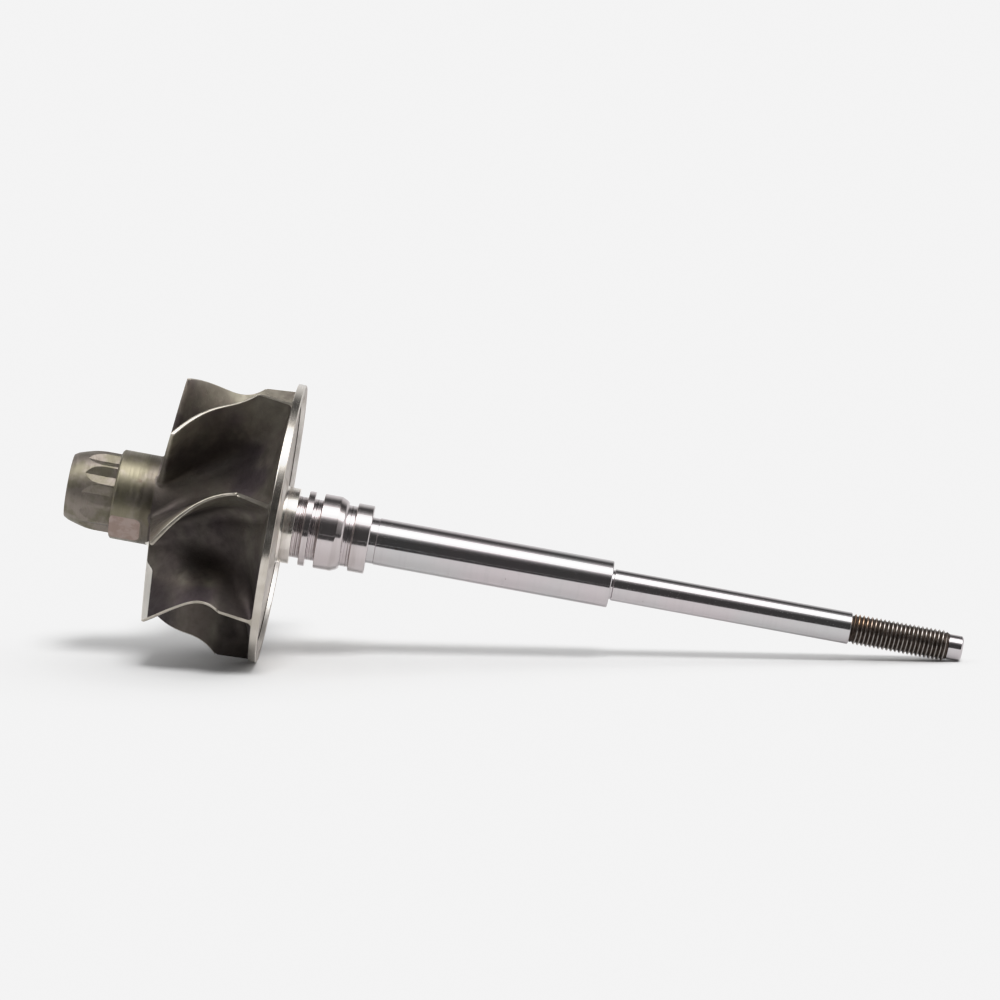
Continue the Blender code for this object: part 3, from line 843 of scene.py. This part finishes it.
# journal, stub and tip
shaft = {
    "journal": [(65.0, 4.95), (66.5, 4.95, 0.05), (66.6, 5.06, 0.03), (66.7, journalRadius),
                (117.1, journalRadius, 0.05), (117.3, 4.88, 0.03), (117.3, 3.3)],
    "stub": [(117.3, 3.2), (117.74, 3.2, 0.05), (117.86, 3.42, 0.05), (118.0, 3.44), (169.1, 3.44, 0.05),
             (169.3, 3.2, 0.03), (169.3, 2.6)],
    "tip": [(190.3, 2.4), (190.3, 2.6, 0.05), (190.42, 2.72, 0.05), (193.12, 2.72, 0.05), (193.5, 2.36)],
}
addTurned("bearingJournal", "bearing_journal", shaft["journal"], "shaft", sides=128)
addTurned("compressorStub", "compressor_stub", shaft["stub"], "shaft", sides=128)
addTurned("shaftTip", "shaft_tip", shaft["tip"], "shaft", sides=96)
print("shaft")

# thread, a real helix
thread = {
    "front": 169.3, "back": 190.3, "pitch": 0.907, "sides": 72, "root": 2.76, "crest": 3.32, "runIn": 0.9,
    "shares": (0.0, 0.10, 0.39, 0.43, 0.53, 0.57, 0.86, 0.94),
    "heights": (0.0, 0.07, 0.90, 1.0, 1.0, 0.90, 0.07, 0.0),
    "spareTurns": 3, "mergeGap": 0.0005, "flatGap": 0.0002,
}


def threadMesh():
    # Rows follow the helix: after one turn a row meets the same row of the next pitch.
    # What would pass either end of the thread is squeezed onto it and cleaned away.
    bm = bmesh.new()
    shares = thread["shares"]
    per = len(shares)
    turns = int((thread["back"] - thread["front"]) / thread["pitch"]) + thread["spareTurns"]
    rows = []
    for row in range(turns * per):
        line = []
        for k in range(thread["sides"]):
            offset = row // per - 1 + shares[row % per] + k / thread["sides"]
            raw = thread["front"] + thread["pitch"] * offset
            station = min(max(raw, thread["front"]), thread["back"])
            inside = min(station - thread["front"], thread["back"] - station) / thread["runIn"]
            tall = thread["heights"][row % per] * blend(0, 1, inside)
            radius = between((thread["root"], thread["crest"]), tall)
            line.append(bm.verts.new(around(station, radius, fullTurn * k / thread["sides"])))
        rows.append(line)
    for row in range(len(rows) - 1 - per):
        for k in range(thread["sides"]):
            near = (rows[row][k], rows[row + 1][k])
            if k == thread["sides"] - 1:
                far = (rows[row + 1 + per][0], rows[row + per][0])
            else:
                far = (rows[row + 1][k + 1], rows[row][k + 1])
            bm.faces.new(near + far)
    bmesh.ops.remove_doubles(bm, verts=bm.verts[:], dist=thread["mergeGap"])
    bmesh.ops.dissolve_degenerate(bm, dist=thread["flatGap"], edges=bm.edges[:])
    stray = [v for v in bm.verts if not v.link_faces]
    bmesh.ops.delete(bm, geom=stray, context="VERTS")
    bmesh.ops.holes_fill(bm, edges=[e for e in bm.edges if e.is_boundary], sides=0)
    bmesh.ops.recalc_face_normals(bm, faces=bm.faces[:])
    return bm


addPiece("shaftThread", "shaft_thread", threadMesh(), ["thread"], sharp=50.0)
print("thread")

# floor, dark card, light and camera
studio = {
    "floorAlbedo": 0.8, "floorLook": 1.0, "ambientShare": 0.58, "keyHeight": 58.0, "keyAside": 0.16,
    "keyAngle": 19.0, "floorSize": 40.0, "cardNear": -0.108, "cardFar": -3.0, "cardAside": 2.5,
    "cardLift": 0.0003, "cardGlow": 0.07,
    "noseSideGlow": 0.42, "tipSideGlow": 0.9, "sideEdge": (0.70, 0.92),
    "glow": ((0, 0.07), (33, 0.07), (39, 0.12), (43, 0.17), (49, 0.36), (53, 0.9), (57, 1.6), (61, 2.6),
             (68, 5.2), (84, 5.2), (90, 2.4), (95, 1.3), (99, 0.7), (107, 0.3), (113, 0.17), (121, 0.09),
             (127, 0.10), (133, 0.20), (141, 0.5), (150, 0.75), (158, 0.85), (180, 0.9)),
    "fill": ((0, 0.22), (45, 0.32), (72, 1.35), (118, 1.45), (140, 0.72), (180, 0.55)),
}


def stagePlane(name, low, high, height, material):
    mesh = bpy.data.meshes.new(name)
    corners = [(low[0], low[1]), (high[0], low[1]), (high[0], high[1]), (low[0], high[1])]
    mesh.from_pydata([(*corner, height) for corner in corners], [], [(0, 1, 2, 3)])
    mesh.materials.append(material)
    made = bpy.data.objects.new(name, mesh)
    scene.collection.objects.link(made)
    return made


def plainMaterial(name, kind, inputs):
    # One plain shader instead of the usual one
    made = bpy.data.materials.new(name)
    made.use_nodes = True
    nodes = made.node_tree.nodes
    nodes.remove(nodes["Principled BSDF"])
    shader = addNode(made.node_tree, kind, inputs)
    made.node_tree.links.new(shader.outputs[0], nodes["Material Output"].inputs[0])
    return made


paper = plainMaterial("paleFloor", "BsdfDiffuse", {"Color": (studio["floorAlbedo"],) * 3})
floorHalf = studio["floorSize"] / 2
stagePlane("floor", (-floorHalf, -floorHalf), (floorHalf, floorHalf), 0, paper)

dark = plainMaterial("darkCard", "Emission", {"Strength": studio["cardGlow"]})
card = stagePlane("darkCard", (-studio["cardAside"], studio["cardFar"]),
                  (studio["cardAside"], studio["cardNear"]), studio["cardLift"], dark)
# The card shows in the metal only, so the floor in front of the part stays pale
card.visible_camera = False
card.visible_diffuse = False
card.visible_shadow = False

key = bpy.data.lights.new("key", "SUN")
rise = math.radians(studio["keyHeight"])
key.angle = math.radians(studio["keyAngle"])
keyLook = studio["floorLook"] * (1 - studio["ambientShare"])
key.energy = keyLook * math.pi / (studio["floorAlbedo"] * math.sin(rise))
keyObject = bpy.data.objects.new("key", key)
# The metals see the soft box of the world instead
keyObject.visible_glossy = False
towards = Vector((studio["keyAside"] * math.sin(rise), -math.cos(rise), math.sin(rise)))
keyObject.rotation_mode = "QUATERNION"
keyObject.rotation_quaternion = towards.to_track_quat("Z", "Y")
scene.collection.objects.link(keyObject)


def studioWorld():
    # Metals see a soft box over a dark room with a pale backdrop; the floor gets an even fill
    world = bpy.data.worlds.new("studio")
    world.use_nodes = True
    tree = world.node_tree
    background = tree.nodes["Background"]

    def put(kind, inputs=None, **settings):
        return addNode(tree, kind, inputs, **settings)

    way = put("SeparateXYZ", {0: put("TexCoord").outputs["Generated"]}).outputs
    forward = put("Math", {0: way[1], 1: -1.0}, operation="MULTIPLY").outputs[0]
    lift = put("Math", {0: way[2], 1: forward}, operation="ARCTAN2").outputs[0]
    share = put("Math", {0: lift, 1: math.pi}, operation="DIVIDE").outputs[0]

    def profile(table):
        # Light by the angle in degrees from the front horizon over the top to the back
        ramp = put("ValToRGB", {0: share})
        top = max(glow for _, glow in table)
        stops = ramp.color_ramp.elements
        for angle, _ in table[1:-1]:
            stops.new(angle / 180)
        for stop, (angle, glow) in zip(stops, table):
            stop.position = angle / 180
            stop.color = (glow / top,) * 3 + (1,)
        return put("Math", {0: ramp.outputs[0], 1: top}, operation="MULTIPLY").outputs[0]

    room = profile(studio["glow"])
    start, full = studio["sideEdge"]
    for sign, glow in ((-1, studio["noseSideGlow"]), (1, studio["tipSideGlow"])):
        aside = put("Math", {0: way[0], 1: sign}, operation="MULTIPLY").outputs[0]
        edge = put("MapRange", {0: aside, 1: start, 2: full}, interpolation_type="SMOOTHSTEP").outputs[0]
        room = put("Mix", {0: edge, 2: room, 3: glow}, data_type="FLOAT").outputs[0]
    path = put("LightPath").outputs
    # The fill comes mostly from overhead, so the wheel shades the floor under it
    even = studio["floorLook"] * studio["ambientShare"] / studio["floorAlbedo"]
    fill = put("Math", {0: profile(studio["fill"]), 1: even}, operation="MULTIPLY").outputs[0]
    seen = put("Mix", {0: path["Is Glossy Ray"], 2: fill, 3: room}, data_type="FLOAT").outputs[0]
    camera = path["Is Camera Ray"]
    shown = put("Mix", {0: camera, 2: seen, 3: studio["floorLook"]}, data_type="FLOAT").outputs[0]
    tree.links.new(shown, background.inputs["Strength"])
    background.inputs["Color"].default_value = (1, 1, 1, 1)
    world.cycles.sampling_method = "NONE"
    return world


scene.world = studioWorld()
scene.view_settings.view_transform = "Standard"
# A soft shoulder: the lit floor lands just under white, and only highlights reach white
shoulder = ((0.0, 0.0), (0.78, 0.78), (0.90, 0.868), (0.97, 0.898), (1.05, 0.908), (1.4, 0.94), (2.5, 1.0))
scene.view_settings.use_curve_mapping = True
curves = scene.view_settings.curve_mapping
curves.white_level = (shoulder[-1][0],) * 3
curves.extend = "HORIZONTAL"
curve = curves.curves[3]  # the curve for all colours
while len(curve.points) < len(shoulder):
    curve.points.new(0.5, 0.5)
for point, (light, shown) in zip(curve.points, shoulder):
    point.location = (light / shoulder[-1][0], shown)
    point.handle_type = "VECTOR"
curves.update()
print("studio")

view = {
    "elevation": math.radians(9), "azimuth": math.radians(1.34), "roll": math.radians(-0.19),
    "distance": 1.05, "aim": (-0.00034, 0.0, 0.02042), "pixelsPerMm": 4.687,
    "shift": (-0.01255, 0.06633), "sensor": 36.0, "clip": (0.01, 200),
}
camera = bpy.data.objects.new("camera", bpy.data.cameras.new("camera"))
away = math.cos(view["elevation"])
toCamera = Vector((away * math.sin(view["azimuth"]), -away * math.cos(view["azimuth"]),
                   math.sin(view["elevation"])))
camera.location = Vector(view["aim"]) + toCamera * view["distance"]
camera.rotation_mode = "QUATERNION"
camera.rotation_quaternion = toCamera.to_track_quat("Z", "Y") @ Quaternion((0, 0, 1), view["roll"])
camera.data.sensor_width = view["sensor"]
camera.data.lens = view["pixelsPerMm"] * view["distance"] * view["sensor"]
camera.data.shift_x, camera.data.shift_y = view["shift"]
camera.data.clip_start, camera.data.clip_end = view["clip"]
scene.collection.objects.link(camera)
scene.camera = camera

bpy.context.view_layer.update()
